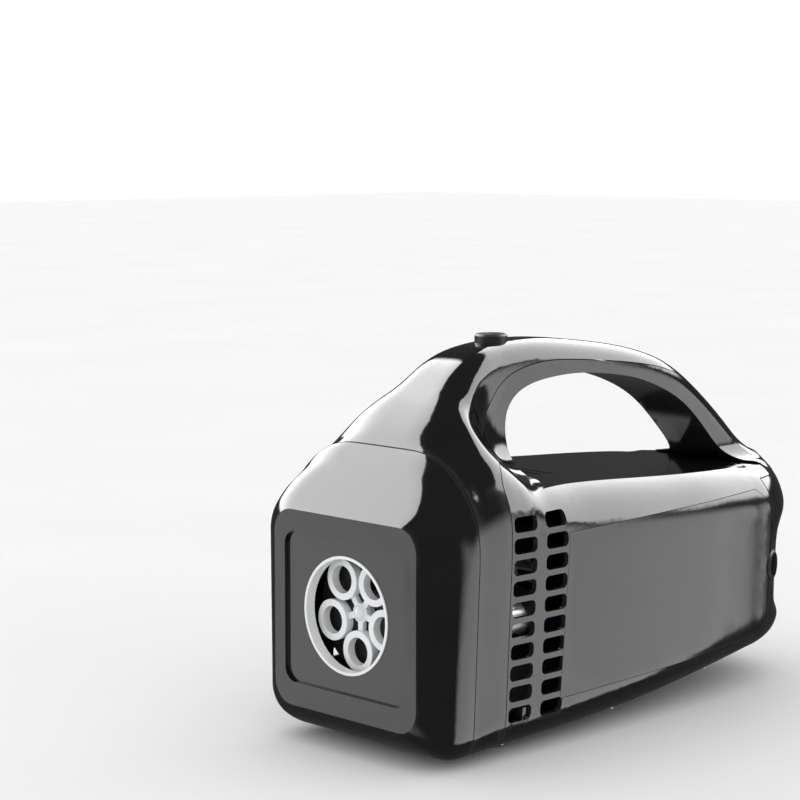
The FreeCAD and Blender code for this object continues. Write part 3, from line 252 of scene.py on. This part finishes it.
# ---------------------------------------------------------------- stage
scene.view_settings.view_transform = "Standard"
FLOOR_HALF = 6.0
FLOOR_TONES = ((0.90, 0.90, 0.905), (0.93, 0.93, 0.93))
floor_mesh = bpy.data.meshes.new("floor")
corner_signs = ((-1, -1), (1, -1), (1, 1), (-1, 1))
corners = [(x * FLOOR_HALF, y * FLOOR_HALF, 0) for x, y in corner_signs]
floor_mesh.from_pydata(corners, [], [(0, 1, 2, 3)])
floor = bpy.data.objects.new("floor", floor_mesh)
scene.collection.objects.link(floor)
floor_paint = Shader("floor_paint", (0.9, 0.9, 0.9), 0.85, specular=0.2)
tone = floor_paint.noise(6.0, 4.0)
floor_paint.colour(floor_paint.mix(floor_paint.span(tone, 0.0, 1.0), *FLOOR_TONES))
floor_mesh.materials.append(floor_paint.material)
floor.visible_glossy = False

world = bpy.data.worlds.new("studio")
world.use_nodes = True
scene.world = world
tree = world.node_tree
background = tree.nodes["Background"]


def world_node(kind, **settings):
    item = tree.nodes.new(kind)
    for key, value in settings.items():
        setattr(item, key, value)
    return item


def world_math(operation, *values):
    item = world_node("ShaderNodeMath", operation=operation)
    for index, value in enumerate(values):
        if isinstance(value, bpy.types.NodeSocket):
            tree.links.new(value, item.inputs[index])
        else:
            item.inputs[index].default_value = value
    return item.outputs[0]


def step(value, start, stop):
    """0 below start, 1 above stop, smooth between."""
    item = world_node("ShaderNodeMapRange", interpolation_type="SMOOTHSTEP")
    tree.links.new(value, item.inputs["Value"])
    item.inputs["From Min"].default_value = start
    item.inputs["From Max"].default_value = stop
    return item.outputs["Result"]


def window(value, low, high, soft):
    """1 between low and high, 0 outside, with soft edges."""
    rise = step(value, low - soft, low + soft)
    fall = world_math("SUBTRACT", 1.0, step(value, high - soft, high + soft))
    return world_math("MULTIPLY", rise, fall)


coordinates = world_node("ShaderNodeTexCoord")
split = world_node("ShaderNodeSeparateXYZ")
tree.links.new(coordinates.outputs["Generated"], split.inputs[0])
axes = dict(zip("xyz", split.outputs))
paths = world_node("ShaderNodeLightPath")

# Soft boxes that only the gloss reflects. Each is (main axis, sign, first ratio, its limits, second
# ratio, its limits, soft edge, radiance), where a ratio is another axis over the main one.
SOFT_BOXES = (
    ("x", -1, "y", (-0.85, 0.5), "z", (0.16, 1.7), 0.06, 5.4),
    ("y", 1, "x", (-0.8, 1.2), "z", (0.27, 1.4), 0.04, 3.9),
    ("x", 1, "y", (0.55, 2.2), "z", (-1.3, 0.2), 0.2, 1.6),
    ("y", -1, "x", (-3.0, -0.3), "z", (-1.2, 0.5), 0.35, 1.0),
)
AMBIENT = 0.05
FILL = 1.0
LEAST_AHEAD = 0.02
FACING_SOFT = 0.06
strengths = [AMBIENT]
for main, sign, first, first_limits, second, second_limits, soft, radiance in SOFT_BOXES:
    ahead = world_math("MULTIPLY", axes[main], float(sign))
    reach = world_math("MAXIMUM", ahead, LEAST_AHEAD)
    across = window(world_math("DIVIDE", axes[first], reach), *first_limits, soft)
    upward = window(world_math("DIVIDE", axes[second], reach), *second_limits, soft)
    facing = step(ahead, 0.0, FACING_SOFT)
    lit = world_math("MULTIPLY", world_math("MULTIPLY", across, upward), facing)
    strengths.append(world_math("MULTIPLY", lit, radiance))
studio = strengths[0]
for strength in strengths[1:]:
    studio = world_math("ADD", strength, studio)

# Gloss reflects the soft boxes, and everything else is lit evenly.
glossy = paths.outputs["Is Glossy Ray"]
mirrored = world_math("MULTIPLY", studio, glossy)
filled = world_math("MULTIPLY", world_math("SUBTRACT", 1.0, glossy), FILL)
tree.links.new(world_math("ADD", mirrored, filled), background.inputs["Strength"])
background.inputs["Color"].default_value = (1, 1, 1, 1)
